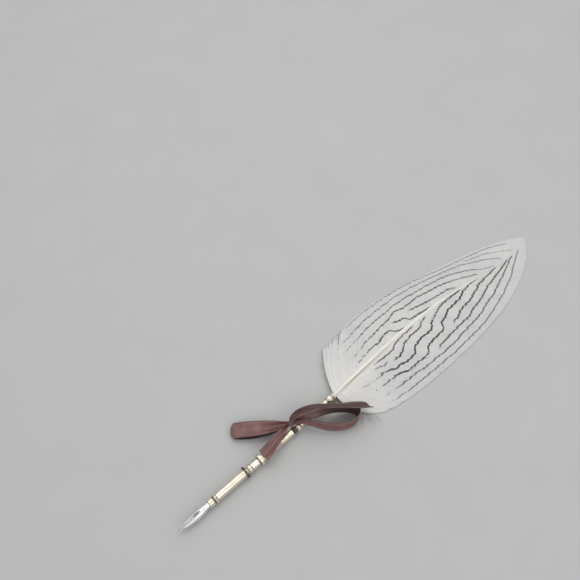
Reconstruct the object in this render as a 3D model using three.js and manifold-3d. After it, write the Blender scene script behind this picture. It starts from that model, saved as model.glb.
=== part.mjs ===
// Quill dip pen: a steel nib in a turned metal holder, a banded feather glued into the
// holder's socket, and a satin ribbon tied in a bow round the holder's neck.
// Millimetres, +Z up. The pen lies flat. A station is a distance along the pen from the nib's
// point; points are written (station, sideways, height above the holder's axis).
import * as THREE from "three";
import { mergeVertices } from "three/addons/utils/BufferGeometryUtils.js";
import Module from "manifold-3d";

// ---- Driving dimensions ----

// Every turned piece has this many flats, with one facing straight down; radii are to the flats.
const FLATS = 20;
// Air left between neighbouring pieces of the stack, and between a piece and what it holds.
const GAP = 0.1;
const EDGE = 0.2; // chamfer on a turned piece's rims

// Nib: a blank of sheet steel, rolled up. Each row is a station, half the flat blank's width,
// the radius it is rolled to, and the height of its crest.
const NIB_THICKNESS = 0.25;
const NIB_HEEL_RADIUS = 1.62;
const NIB_HEEL_END = 34.0;
const NIB_ROWS = [
  [0, 0.16, 2.4, 0.1],
  [3, 1, 2.5, 0.5],
  [7, 2.35, 2.65, 1],
  [11, 3.45, 2.75, 1.4],
  [14, 3.7, 2.75, 1.55],
  [17, 3.25, 2.15, 1.6],
  [20.4, 2.8, NIB_HEEL_RADIUS, NIB_HEEL_RADIUS],
  [NIB_HEEL_END, 2.8, NIB_HEEL_RADIUS, NIB_HEEL_RADIUS],
];
const NIB_SLIT_WIDTH = 0.12;
const NIB_VENT_START = 9.8;
const NIB_VENT_END = 14.6;
const NIB_VENT_WIDTH = 1.0;

// Holder: outer radii of the turned pieces and the bores through them.
const COLLAR_RADIUS = 2.5;
const COLLAR_TAIL_RADIUS = 2.02;
const COLLAR_BORE = 1.82;
const CORE_RADIUS = 1.42;
const GRIP_RADIUS = 2.48;
const GRIP_BORE = 2.08;
const GRIP_WALL_START = 40; // the grip is solid from here back, but for the stud's hole
const LIP_RADIUS = 2.9;
const WASHER_RADIUS = 3.5;
const FLANGE_RADIUS = 3.6; // the widest turned piece, which the pen lies on
const STUD_RADIUS = 1.0;
const STUD_THREAD_DEPTH = 0.15;
const STUD_PITCH = 0.5;
const STUD_START = 38;
const STUD_END = 51.8;
const THREAD_START = 47.4;
const BARREL_BORE = 1.12;
const ROD_RADIUS = 0.9;
const ROD_START = 53;
const ROD_END = 108.2;
const NECK_RADIUS = 1.6;
const SOCKET_BORE = 1.8;
const CALAMUS_RADIUS = 1.55;

// Feather: its shaft from the socket to the tip, and the outlines of the two vanes.
const SHAFT_HALF_WIDTH = 1.45;
const SHAFT_TIP_HALF_WIDTH = 0.22;
const SHAFT_FLATNESS = 0.8; // the shaft's height over its width
const SHAFT_LINE = [
  [113.6, 0, 0], [130, 0.5, 0.45], [148, 1.1, 0.7], [166, 1.8, 0.7], [186, 1.8, 0.3],
  [202, 1.1, -0.3], [222, -1.4, -1.2], [243, -4.9, -2.1], [257, -6.3, -2.6], [268, -5.4, -2.9],
];
const LEFT_OUTLINE = [
  [130.5, 28], [147, 29.8], [168, 30], [192, 26.3], [220, 19.8], [248, 12], [266, 4.2], [276, -2.4],
];
const RIGHT_OUTLINE = [
  [126.6, -26.6], [137, -28.4], [156, -30], [180, -31.1], [212, -29.7], [235, -26], [252, -20.5],
  [268, -11], [276, -3.1],
];
const VANE_THICKNESS = 0.36;
const VANE_EDGE_HEIGHT = -3.36; // the outer edges droop to just over what the pen lies on
const VANE_DROOP_POWER = 1.7;
// How far a barb bows back towards the nib, as a share of its reach: at the vane's base, at its tip.
const LEFT_BOW = [0.12, 0.12];
const RIGHT_BOW = [0.36, 0.12];
const VANE_COLUMNS = 28;
const VANE_ROWS = 5;
const DOWN_THICKNESS = 0.3;

// Ribbon: one strip of satin. Each row is a point on a stretch's middle line, the ribbon's
// width there (it is gathered near the knot), and the direction across it.
const RIBBON_THICKNESS = 0.3;
const LEFT_LOOP = [
  [80.1, 4.7, 4.7, 2.2, 0.5, 0.85, 0], [75.6, 7.6, 4.2, 6.6, 0.64, 0.77, 0],
  [67.6, 13.9, 2.6, 8.6, 0.64, 0.77, 0], [59.6, 21, 0.5, 9.2, 0.64, 0.77, 0],
  [56, 24.3, -1.2, 9.2, 0.64, 0.77, 0], [58.8, 22, -2.8, 9.2, 0.64, 0.77, 0],
  [66.8, 14.8, -2.3, 8.6, 0.64, 0.77, 0], [75, 7.7, 1.4, 6, 0.64, 0.77, 0],
  [79.9, 4.8, 3.5, 1.8, 0.5, 0.85, 0],
];
const RIGHT_LOOP = [
  [85.1, 2.9, 4.7, 2, 0, 0.2, 1], [89, 0.7, 5.9, 5.2, 0, 0.15, 1],
  [94.3, -2.5, 5.4, 7, 0, 0, 1], [103.5, -5.9, 2.8, 7.8, 0, 0, 1],
  [109.3, -9, 1.1, 7.8, 0, 0, 1], [113.8, -12.4, 0.6, 7.6, 0.1, 0, 1],
  [115.8, -15.8, 0.6, 7.6, 0.15, -0.05, 1], [113.6, -19, 0.7, 7.8, 0.05, -0.2, 1],
  [108.3, -19.8, 1.1, 8.6, -0.1, -0.3, 1], [102.3, -17.6, 1.3, 8.6, -0.15, -0.25, 1],
  [96.6, -12.6, 1.6, 8.2, -0.15, -0.2, 1], [92, -6.8, 2.6, 6.6, -0.1, -0.2, 1],
  [88.6, -2, 4.1, 4, 0, -0.4, 1], [85, 1.1, 3.9, 2, 0, -0.2, 1],
];
const LEFT_TAIL = [
  [79.9, 2.4, 3.1, 2, 0, 1, -0.3], [75, 1.6, 3.2, 3.8, 0, 1, -0.2],
  [69.5, 1.3, 3.3, 6, 0, 1, -0.1], [64, 0.5, 3.2, 7.2, 0, 1, 0], [58.4, -0.5, 3.3, 7.8, -0.2, 1, 0],
];
const RIGHT_TAIL = [
  [84.9, 4.6, 4.9, 2, 0, 0.4, 0.9], [88.6, 4.5, 6.7, 4, 0.1, 0.6, -0.8],
  [93.4, 2.4, 8.3, 6.2, 0.4, 0.6, -0.8], [98.5, -0.9, 9, 7.6, 0.45, 0.55, -0.75],
  [103.7, -5.3, 8.8, 8.2, 0.45, 0.5, -0.7], [109, -9.6, 8, 8.4, 0.45, 0.5, -0.7],
  [114.5, -13.5, 6.6, 8.6, 0.5, 0.55, -0.6], [120.2, -17.3, 4.6, 8.6, 0.5, 0.6, -0.6],
  [124.6, -20, 3.3, 8.6, 0.5, 0.6, -0.55],
];
const KNOT_CENTRE = [82.4, 2.5, 4.1];
const KNOT_SIZE = [1.9, 1.9, 1.25];

// ---- Materials ----

function metal(name, colour, roughness) {
  return new THREE.MeshStandardMaterial({ name, color: colour, roughness, metalness: 1 });
}

function soft(name, colour, roughness) {
  return new THREE.MeshStandardMaterial({ name, color: colour, roughness, metalness: 0 });
}

const MATERIALS = {
  steel: metal("steel", 0xd8dadc, 0.22),
  holder: metal("holder", 0xd6c7a4, 0.25),
  darkened: metal("darkened", 0x6b5a48, 0.4),
  quill: soft("quill", 0xf2ead4, 0.45),
  vane: soft("vane", 0xd6d5cf, 0.75),
  glue: soft("glue", 0xcfc08a, 0.3),
  satin: soft("satin", 0x5a3833, 0.35),
};

const pen = new THREE.Group();

function add(name, geometry, material) {
  const mesh = new THREE.Mesh(geometry, material);
  mesh.name = name;
  pen.add(mesh);
  return mesh;
}

// ---- Turned pieces ----

// Turns a closed outline of [station, radius] points about the pen's axis.
function turned(name, outline, material) {
  const toFlats = 1 / Math.cos(Math.PI / FLATS);
  const points = outline.map(([station, radius]) => new THREE.Vector2(radius * toFlats, station));
  const geometry = new THREE.LatheGeometry(points, FLATS, Math.PI / FLATS);
  geometry.rotateZ(-Math.PI / 2);
  return add(name, geometry, material);
}

// A ring or tube: an outer outline from front to back, closed along its bore.
function sleeve(name, outer, bore, material) {
  const front = outer[0][0];
  const back = outer[outer.length - 1][0];
  turned(name, [[front, bore], ...outer, [back, bore], [front, bore]], material);
}

// A solid bar: an outer outline from front to back, closed along the axis.
function bar(name, outer, material) {
  const front = outer[0][0];
  const back = outer[outer.length - 1][0];
  turned(name, [[front, 0], ...outer, [back, 0]], material);
}

// The outer outline of a plain round with chamfered rims, which may taper.
function plain(front, back, radius, endRadius = radius) {
  return [
    [front, radius - EDGE], [front + EDGE, radius], [back - EDGE, endRadius], [back, endRadius - EDGE],
  ];
}

// The outer outline of a bead, or of a cove when the middle is the narrower, as an arc of sines.
function bead(front, back, endRadius, middleRadius, steps = 6) {
  const points = [];
  for (let i = 0; i <= steps; i += 1) {
    const swell = Math.sin((Math.PI * i) / steps);
    points.push([
      front + ((back - front) * i) / steps,
      endRadius + (middleRadius - endRadius) * swell,
    ]);
  }
  return points;
}

function addGrip() {
  bar("nib_core", [
    [21.6, 1.1], [22, CORE_RADIUS], [NIB_HEEL_END + GAP, CORE_RADIUS],
    [NIB_HEEL_END + GAP, COLLAR_TAIL_RADIUS], [36, COLLAR_TAIL_RADIUS],
  ], MATERIALS.darkened);
  sleeve("nib_collar", [
    [20.6, COLLAR_RADIUS - EDGE], [20.6 + EDGE, COLLAR_RADIUS], [23.7, COLLAR_RADIUS],
    [23.9, COLLAR_TAIL_RADIUS], [NIB_HEEL_END, COLLAR_TAIL_RADIUS],
  ], COLLAR_BORE, MATERIALS.holder);
  sleeve("lip_ring", bead(24.4, 26, 2.55, LIP_RADIUS, 4), GRIP_BORE, MATERIALS.holder);
  turned("grip_tube", [
    [26.1, GRIP_BORE], [26.1, GRIP_RADIUS - EDGE], [26.1 + EDGE, GRIP_RADIUS],
    [45.9 - EDGE, GRIP_RADIUS], [45.9, GRIP_RADIUS - EDGE], [45.9, STUD_RADIUS + GAP / 2],
    [GRIP_WALL_START, STUD_RADIUS + GAP / 2], [GRIP_WALL_START, GRIP_BORE], [26.1, GRIP_BORE],
  ], MATERIALS.holder);
  addStud();
}

// The stud is fast in the grip; the end behind the washer screws into the barrel. Its thread
// is drawn as grooves, one to each pitch.
function addStud() {
  const outline = [[STUD_START, STUD_RADIUS]];
  for (let at = THREAD_START; at + STUD_PITCH < STUD_END; at += STUD_PITCH) {
    outline.push([at, STUD_RADIUS]);
    outline.push([at + STUD_PITCH / 2, STUD_RADIUS - STUD_THREAD_DEPTH]);
  }
  outline.push([STUD_END - STUD_PITCH / 2, STUD_RADIUS - STUD_THREAD_DEPTH]);
  outline.push([STUD_END, STUD_RADIUS - 2 * STUD_THREAD_DEPTH]);
  bar("grip_stud", outline, MATERIALS.steel);
}

function addBarrel() {
  sleeve("grip_washer", plain(46, 47.1, WASHER_RADIUS), BARREL_BORE, MATERIALS.darkened);
  sleeve("lower_bead", [
    [47.2, 1.9], [48, 1.95], ...bead(48.1, 50.7, 2.2, 2.55),
  ], BARREL_BORE, MATERIALS.holder);
  sleeve("spacer_tube", plain(50.8, 55.4, 2.4), BARREL_BORE, MATERIALS.holder);
  sleeve("flange_ring", [
    [55.5, 2], [56.1, 2], [56.2, FLANGE_RADIUS - EDGE], [56.2 + EDGE, FLANGE_RADIUS],
    [57.8 - EDGE, FLANGE_RADIUS], [57.8, FLANGE_RADIUS - EDGE], [57.9, 2.3],
  ], BARREL_BORE, MATERIALS.holder);
  sleeve("taper_section", plain(58, 69.3, 2.25, 1.98), BARREL_BORE, MATERIALS.holder);
  sleeve("double_ring", [
    ...bead(69.4, 70.5, 2.05, 2.42, 4), ...bead(70.6, 71.7, 2.05, 2.42, 4),
  ], BARREL_BORE, MATERIALS.holder);
  sleeve("upper_tube", plain(71.8, 80.6, 2, 2.12), BARREL_BORE, MATERIALS.holder);
  sleeve("neck_ring", [
    [80.7, 1.85], [81.3, NECK_RADIUS], [83.1, NECK_RADIUS], [83.5, 1.85],
  ], BARREL_BORE, MATERIALS.darkened);
  sleeve("upper_bead", bead(83.6, 86.5, 1.9, 2.35), BARREL_BORE, MATERIALS.holder);
  sleeve("baluster", [
    [86.6, 1.6], [88, 1.7], [91, 2.1], [94.5, 2.25], [98, 2.1], [101.5, 1.75], [103.4, 1.65],
    [103.8, 1.9], [104.4, 1.9],
  ], BARREL_BORE, MATERIALS.holder);
  sleeve("socket_neck", bead(104.5, 107.1, 1.85, 1.65, 4), BARREL_BORE, MATERIALS.holder);
  turned("socket_cup", [
    [107.2, ROD_RADIUS + GAP], ...bead(107.2, 111.1, 2.2, 2.72), [111.1, SOCKET_BORE],
    [108.5, SOCKET_BORE], [108.5, ROD_RADIUS + GAP], [107.2, ROD_RADIUS + GAP],
  ], MATERIALS.holder);
  sleeve("top_ring", bead(111.2, 112.3, 2.2, 2.45, 4), SOCKET_BORE, MATERIALS.darkened);
  bar("tie_rod", [[ROD_START, ROD_RADIUS], [ROD_END, ROD_RADIUS]], MATERIALS.steel);
  bar("socket_glue", [[108.6, SOCKET_BORE - GAP], [109.4, SOCKET_BORE - GAP]], MATERIALS.glue);
}

// ---- Sheets ----

// Closes a sheet of even thickness round a grid of middle points, grid[row][column].
function sheet(grid, thickness) {
  const rows = grid.length;
  const columns = grid[0].length;
  const at = (r, c) => grid[THREE.MathUtils.clamp(r, 0, rows - 1)][THREE.MathUtils.clamp(c, 0, columns - 1)];
  const normal = (r, c) => {
    const along = at(r, c + 1).clone().sub(at(r, c - 1));
    const across = at(r + 1, c).clone().sub(at(r - 1, c));
    return along.cross(across).normalize();
  };
  const positions = [];
  for (const side of [0.5, -0.5]) {
    for (let r = 0; r < rows; r += 1) {
      for (let c = 0; c < columns; c += 1) {
        positions.push(...grid[r][c].clone().addScaledVector(normal(r, c), side * thickness));
      }
    }
  }
  const top = (r, c) => r * columns + c;
  const bottom = (r, c) => rows * columns + top(r, c);
  const index = [];
  const quad = (a, b, c, d) => index.push(a, b, c, a, c, d);
  for (let r = 0; r + 1 < rows; r += 1) {
    for (let c = 0; c + 1 < columns; c += 1) {
      quad(top(r, c), top(r, c + 1), top(r + 1, c + 1), top(r + 1, c));
      quad(bottom(r, c), bottom(r + 1, c), bottom(r + 1, c + 1), bottom(r, c + 1));
    }
    quad(top(r, 0), top(r + 1, 0), bottom(r + 1, 0), bottom(r, 0));
    const last = columns - 1;
    quad(top(r + 1, last), top(r, last), bottom(r, last), bottom(r + 1, last));
  }
  for (let c = 0; c + 1 < columns; c += 1) {
    quad(top(0, c + 1), top(0, c), bottom(0, c), bottom(0, c + 1));
    const last = rows - 1;
    quad(top(last, c), top(last, c + 1), bottom(last, c + 1), bottom(last, c));
  }
  const geometry = new THREE.BufferGeometry();
  geometry.setAttribute("position", new THREE.Float32BufferAttribute(positions, 3));
  geometry.setIndex(index);
  return geometry;
}

// ---- Nib ----

// A nib row's values at a station, eased between the rows of the table.
function nibAt(station) {
  const next = Math.max(1, NIB_ROWS.findIndex((row) => row[0] >= station));
  const [before, after] = [NIB_ROWS[next - 1], NIB_ROWS[next]];
  const t = (station - before[0]) / (after[0] - before[0]);
  return before.map((value, i) => THREE.MathUtils.lerp(value, after[i], t));
}

function nibBlank() {
  const across = 10;
  const stations = [0, 1.5, 3, 5, 7, 9, 11, 12.5, 14, 15.5, 17, 18.7, 20.4, 27, NIB_HEEL_END];
  const grid = stations.map((station) => {
    const [, half, radius, crest] = nibAt(station);
    return Array.from({ length: across + 1 }, (_, i) => {
      const angle = (half / radius) * (1 - (2 * i) / across);
      return new THREE.Vector3(
        station, radius * Math.sin(angle), crest - radius * (1 - Math.cos(angle)),
      );
    });
  });
  return sheet(grid, NIB_THICKNESS);
}

// The vent is a lancet: two shallow arcs that meet in points.
function nibVent() {
  const middle = (NIB_VENT_START + NIB_VENT_END) / 2;
  const shape = new THREE.Shape();
  shape.moveTo(NIB_VENT_START, 0);
  shape.quadraticCurveTo(middle, NIB_VENT_WIDTH, NIB_VENT_END, 0);
  shape.quadraticCurveTo(middle, -NIB_VENT_WIDTH, NIB_VENT_START, 0);
  const tall = 4;
  return new THREE.ExtrudeGeometry(shape, { depth: tall, bevelEnabled: false, curveSegments: 6 });
}

function nibSlit() {
  const front = -1;
  const back = NIB_VENT_START + 1;
  const tall = 6;
  const geometry = new THREE.BoxGeometry(back - front, NIB_SLIT_WIDTH, tall);
  return geometry.translate((front + back) / 2, 0, 0);
}

const wasm = await Module();
wasm.setup();

function solid(geometry) {
  const bare = geometry.clone();
  bare.deleteAttribute("normal");
  bare.deleteAttribute("uv");
  const merged = mergeVertices(bare);
  return new wasm.Manifold(new wasm.Mesh({
    numProp: 3,
    vertProperties: new Float32Array(merged.attributes.position.array),
    triVerts: new Uint32Array(merged.index.array),
  }));
}

function geometryOf(body) {
  const mesh = body.getMesh();
  const geometry = new THREE.BufferGeometry();
  geometry.setAttribute("position", new THREE.BufferAttribute(mesh.vertProperties, 3));
  geometry.setIndex(new THREE.BufferAttribute(mesh.triVerts, 1));
  return geometry;
}

function addNib() {
  const nib = solid(nibBlank()).subtract(solid(nibVent())).subtract(solid(nibSlit()));
  add("nib", geometryOf(nib), MATERIALS.steel);
}

// ---- Feather ----

const shaftLine = new THREE.CatmullRomCurve3(SHAFT_LINE.map((p) => new THREE.Vector3(...p)));

function outlineCurve(points) {
  return new THREE.CatmullRomCurve3(points.map(([s, y]) => new THREE.Vector3(s, y, VANE_EDGE_HEIGHT)));
}

// Half the shaft's width, a share of the way from the socket to the tip.
function shaftHalfWidth(share) {
  return THREE.MathUtils.lerp(SHAFT_HALF_WIDTH, SHAFT_TIP_HALF_WIDTH, share ** 0.8);
}

// The hollow end of the quill, cut square and standing in the socket.
function addCalamus() {
  const [front, back, wall] = [109.5, 113.5, 0.35];
  turned("calamus", [
    [front, CALAMUS_RADIUS - wall], [front, CALAMUS_RADIUS], [back, SHAFT_HALF_WIDTH], [back, 0],
    [back - wall, 0], [back - wall, SHAFT_HALF_WIDTH - wall], [front, CALAMUS_RADIUS - wall],
  ], MATERIALS.quill);
}

// The shaft: oval sections of eight sides along its line, with closed ends.
function addShaft() {
  const [steps, sides] = [26, 8];
  const positions = [];
  const index = [];
  for (let i = 0; i <= steps; i += 1) {
    const centre = shaftLine.getPointAt(i / steps);
    const half = shaftHalfWidth(i / steps);
    for (let k = 0; k < sides; k += 1) {
      const angle = (2 * Math.PI * (k + 0.5)) / sides;
      positions.push(
        centre.x, centre.y + half * Math.cos(angle), centre.z + half * SHAFT_FLATNESS * Math.sin(angle),
      );
    }
  }
  for (let i = 0; i < steps; i += 1) {
    for (let k = 0; k < sides; k += 1) {
      const [a, b] = [i * sides + k, i * sides + ((k + 1) % sides)];
      index.push(a, b, b + sides, a, b + sides, a + sides);
    }
  }
  for (let k = 1; k + 1 < sides; k += 1) {
    index.push(0, k + 1, k);
    index.push(steps * sides, steps * sides + k, steps * sides + k + 1);
  }
  const geometry = new THREE.BufferGeometry();
  geometry.setAttribute("position", new THREE.Float32BufferAttribute(positions, 3));
  geometry.setIndex(index);
  add("shaft", geometry, MATERIALS.quill);
}

// One vane: each column of the grid follows a barb from the shaft out to the outline. A barb
// leaves the shaft steeply and bends towards the tip, and it droops as it goes.
function addVane(name, outline, side, bow) {
  const edge = outlineCurve(outline);
  const columns = [];
  for (let i = 0; i <= VANE_COLUMNS; i += 1) {
    const share = i / VANE_COLUMNS;
    const root = shaftLine.getPointAt(0.995 * share);
    root.y += side * (shaftHalfWidth(share) + 2 * GAP);
    const end = edge.getPointAt(share);
    const bend = new THREE.Vector3().lerpVectors(root, end, 0.5);
    const reach = Math.abs(end.y - root.y);
    bend.x -= THREE.MathUtils.lerp(bow[0], bow[1], Math.min(1, 4 * share)) * reach;
    bend.y += side * 0.06 * reach;
    const barb = new THREE.QuadraticBezierCurve3(root, bend, end);
    columns.push(Array.from({ length: VANE_ROWS + 1 }, (_, r) => {
      const out = r / VANE_ROWS;
      const point = barb.getPoint(out);
      point.z = THREE.MathUtils.lerp(root.z, end.z, out ** VANE_DROOP_POWER);
      return point;
    }));
  }
  if (side > 0) columns.reverse();
  add(name, sheet(columns, VANE_THICKNESS), MATERIALS.vane);
}

// Loose down below the right vane, as one thin fan.
function addDown() {
  const height = -3;
  const root = [[117.3, -19.3], [119.5, -22], [122.5, -24.6]];
  const tip = [[106.5, -24.5], [111.5, -27.5], [117, -30.6]];
  const grid = root.map(([s, y], i) => {
    const from = new THREE.Vector3(s, y, height);
    const to = new THREE.Vector3(...tip[i], height);
    return [0, 0.35, 0.7, 1].map((t) => new THREE.Vector3().lerpVectors(from, to, t));
  });
  add("down_tuft", sheet(grid, DOWN_THICKNESS), MATERIALS.vane);
}

// ---- Ribbon ----

// One stretch of ribbon, smoothed through its rows.
function addRibbon(name, rows, stepsPerRow, material) {
  const line = new THREE.CatmullRomCurve3(rows.map((row) => new THREE.Vector3(...row.slice(0, 3))));
  const steps = stepsPerRow * (rows.length - 1);
  const grid = [];
  for (let i = 0; i <= steps; i += 1) {
    const t = i / steps;
    const place = t * (rows.length - 1);
    const row = Math.min(Math.floor(place), rows.length - 2);
    const ease = place - row;
    const width = THREE.MathUtils.lerp(rows[row][3], rows[row + 1][3], ease);
    const across = new THREE.Vector3(...rows[row].slice(4))
      .lerp(new THREE.Vector3(...rows[row + 1].slice(4)), ease).normalize();
    const middle = line.getPoint(t);
    grid.push([-0.5, 0, 0.5].map((share) => middle.clone().addScaledVector(across, share * width)));
  }
  add(name, sheet(grid, RIBBON_THICKNESS), material);
}

function addBow() {
  sleeve("ribbon_wrap", bead(81.4, 83.2, 2.1, 2.4, 4), NECK_RADIUS + 2 * GAP, MATERIALS.satin);
  const knot = new THREE.SphereGeometry(1, 12, 8);
  knot.scale(...KNOT_SIZE).translate(...KNOT_CENTRE);
  add("ribbon_knot", knot, MATERIALS.satin);
  addRibbon("ribbon_left_loop", LEFT_LOOP, 3, MATERIALS.satin);
  addRibbon("ribbon_right_loop", RIGHT_LOOP, 2, MATERIALS.satin);
  addRibbon("ribbon_left_tail", LEFT_TAIL, 3, MATERIALS.satin);
  addRibbon("ribbon_right_tail", RIGHT_TAIL, 2, MATERIALS.satin);
}

// ---- Assembly ----

addNib();
addGrip();
addBarrel();
addCalamus();
addShaft();
addVane("left_vane", LEFT_OUTLINE, 1, LEFT_BOW);
addVane("right_vane", RIGHT_OUTLINE, -1, RIGHT_BOW);
addDown();
addBow();

// The origin is the middle of the pen's box, at the surface that it lies on.
const box = new THREE.Box3().setFromObject(pen, true);
const middle = box.getCenter(new THREE.Vector3());
pen.position.set(-middle.x, -middle.y, -box.min.z);
pen.updateMatrixWorld(true);

export default pen;
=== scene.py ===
import math

import bmesh
import bpy
import numpy as np
from mathutils import Matrix, Vector


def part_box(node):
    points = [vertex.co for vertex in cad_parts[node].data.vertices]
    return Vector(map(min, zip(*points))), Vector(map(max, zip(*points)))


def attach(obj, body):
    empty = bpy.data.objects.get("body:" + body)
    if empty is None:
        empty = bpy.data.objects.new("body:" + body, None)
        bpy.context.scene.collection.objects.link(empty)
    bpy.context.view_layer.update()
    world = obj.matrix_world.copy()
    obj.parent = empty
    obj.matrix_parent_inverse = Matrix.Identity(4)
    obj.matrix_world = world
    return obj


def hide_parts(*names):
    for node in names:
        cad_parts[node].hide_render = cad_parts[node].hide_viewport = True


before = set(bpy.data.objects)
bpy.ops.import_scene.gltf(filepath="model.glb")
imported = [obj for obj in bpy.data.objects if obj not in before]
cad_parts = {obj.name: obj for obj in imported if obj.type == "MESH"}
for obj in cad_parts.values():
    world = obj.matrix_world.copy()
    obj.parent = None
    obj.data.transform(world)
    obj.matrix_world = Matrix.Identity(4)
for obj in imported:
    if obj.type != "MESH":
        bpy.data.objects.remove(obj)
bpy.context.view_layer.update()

MM = 0.001
RANDOM = np.random.default_rng(11)

ROD_LOW, ROD_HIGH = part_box("tie_rod")
ROD_START = 53
PEN_ORIGIN = np.array([
    ROD_LOW.x - ROD_START * MM, (ROD_LOW.y + ROD_HIGH.y) / 2, (ROD_LOW.z + ROD_HIGH.z) / 2,
])


def placed(points):
    return np.asarray(points, float) * MM + PEN_ORIGIN


def pen_box(node):
    """A CAD node's lowest and highest corners, in pen millimetres."""
    return [(np.array(corner) - PEN_ORIGIN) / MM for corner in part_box(node)]


# ---- Camera, floor and light ----

CAMERA_AIM = (141.6, 69.5, 0)
CAMERA_DISTANCE = 0.511
CAMERA_AZIMUTH = math.radians(-37.69)
CAMERA_ELEVATION = math.radians(58.58)
CAMERA_ROLL = math.radians(-5.07)
CAMERA_LENS = 51.66
CAMERA_SENSOR = 36


def direction(azimuth, elevation):
    flat = math.cos(elevation)
    return Vector((math.sin(azimuth) * flat, -math.cos(azimuth) * flat, math.sin(elevation)))


def add_camera():
    data = bpy.data.cameras.new("camera")
    data.lens, data.sensor_width = CAMERA_LENS, CAMERA_SENSOR
    data.clip_start, data.clip_end = 0.01, 20
    camera = bpy.data.objects.new("camera", data)
    back = direction(CAMERA_AZIMUTH, CAMERA_ELEVATION)
    level = Vector((math.cos(CAMERA_AZIMUTH), math.sin(CAMERA_AZIMUTH), 0))
    right = level * math.cos(CAMERA_ROLL) + back.cross(level) * math.sin(CAMERA_ROLL)
    up = back.cross(right)
    turn = Matrix((right, up, back)).transposed().to_4x4()
    place = Vector(placed(CAMERA_AIM)) + back * CAMERA_DISTANCE
    camera.matrix_world = Matrix.Translation(place) @ turn
    bpy.context.collection.objects.link(camera)
    bpy.context.scene.camera = camera


def add_light(name, azimuth, elevation, distance, size, power, colour):
    data = bpy.data.lights.new(name, "AREA")
    data.shape, data.size, data.energy, data.color = "DISK", size, power, colour
    light = bpy.data.objects.new(name, data)
    back = direction(math.radians(azimuth), math.radians(elevation))
    light.location = back * distance
    light.rotation_mode = "QUATERNION"
    light.rotation_quaternion = back.to_track_quat("Z", "Y")
    bpy.context.collection.objects.link(light)


def add_lights():
    add_light("key", 143, 58, 0.9, 1.5, 4.2, (1, 0.985, 0.96))
    add_light("strip", 152, 74, 0.75, 0.34, 0.55, (1, 0.99, 0.97))
    add_light("fill", -95, 38, 1.0, 0.9, 1.1, (0.95, 0.97, 1))
    add_light("front", 5, 42, 1.0, 0.8, 2.2, (1, 0.99, 0.975))
    world = bpy.data.worlds.new("studio")
    bpy.context.scene.world = world
    world.use_nodes = True
    sky = world.node_tree.nodes["Background"]
    sky.inputs["Color"].default_value = (0.88, 0.9, 0.93, 1)
    sky.inputs["Strength"].default_value = 0.34


# ---- Materials ----

class Shader:
    """A procedural material on one principled shader."""

    def __init__(self, name, **constants):
        self.material = bpy.data.materials.new(name)
        self.material.use_nodes = True
        self.nodes = self.material.node_tree.nodes
        self.links = self.material.node_tree.links
        self.shader = self.nodes["Principled BSDF"]
        for socket, value in constants.items():
            self.shader.inputs[socket.replace("_", " ")].default_value = value

    def plug(self, socket, value):
        if isinstance(value, bpy.types.NodeSocket):
            self.links.new(value, socket)
        else:
            socket.default_value = value

    def feed(self, name, value):
        self.plug(self.shader.inputs[name], value)

    def attribute(self, name):
        node = self.nodes.new("ShaderNodeAttribute")
        node.attribute_name = name
        return node.outputs["Fac"]

    def place(self, scale=(1, 1, 1)):
        source = self.nodes.new("ShaderNodeTexCoord")
        mapping = self.nodes.new("ShaderNodeMapping")
        mapping.inputs["Scale"].default_value = scale
        self.links.new(source.outputs["Object"], mapping.inputs["Vector"])
        return mapping.outputs["Vector"]

    def vector(self, x, y, z=0.0):
        node = self.nodes.new("ShaderNodeCombineXYZ")
        for socket, value in zip(node.inputs, (x, y, z)):
            self.plug(socket, value)
        return node.outputs["Vector"]

    def noise(self, vector, scale, detail=3.0, roughness=0.5):
        node = self.nodes.new("ShaderNodeTexNoise")
        node.inputs["Scale"].default_value = scale
        node.inputs["Detail"].default_value = detail
        node.inputs["Roughness"].default_value = roughness
        self.links.new(vector, node.inputs["Vector"])
        return node.outputs["Fac"]

    def random(self, value):
        node = self.nodes.new("ShaderNodeTexWhiteNoise")
        node.noise_dimensions = "1D"
        self.plug(node.inputs["W"], value)
        return node.outputs["Value"]

    def math(self, operation, first, second=0.0):
        node = self.nodes.new("ShaderNodeMath")
        node.operation = operation
        for socket, value in zip(node.inputs, (first, second)):
            self.plug(socket, value)
        return node.outputs["Value"]

    def plus(self, first, second):
        return self.math("ADD", first, second)

    def minus(self, first, second):
        return self.math("SUBTRACT", first, second)

    def times(self, first, second):
        return self.math("MULTIPLY", first, second)

    def ease(self, value, low, high, to_low=0.0, to_high=1.0):
        node = self.nodes.new("ShaderNodeMapRange")
        node.interpolation_type = "SMOOTHSTEP"
        for socket, number in zip(node.inputs, (value, low, high, to_low, to_high)):
            self.plug(socket, number)
        return node.outputs["Result"]

    def mix(self, share, first, second, blend="MIX"):
        node = self.nodes.new("ShaderNodeMix")
        node.data_type, node.blend_type = "RGBA", blend
        self.plug(node.inputs[0], share)
        for socket, value in ((node.inputs[6], first), (node.inputs[7], second)):
            self.plug(socket, value if isinstance(value, bpy.types.NodeSocket) else (*value, 1))
        return node.outputs[2]

    def bump(self, height, strength, distance, under=None):
        node = self.nodes.new("ShaderNodeBump")
        node.inputs["Strength"].default_value = strength
        node.inputs["Distance"].default_value = distance * MM
        self.links.new(height, node.inputs["Height"])
        if under is not None:
            self.links.new(under, node.inputs["Normal"])
        return node.outputs["Normal"]


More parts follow.
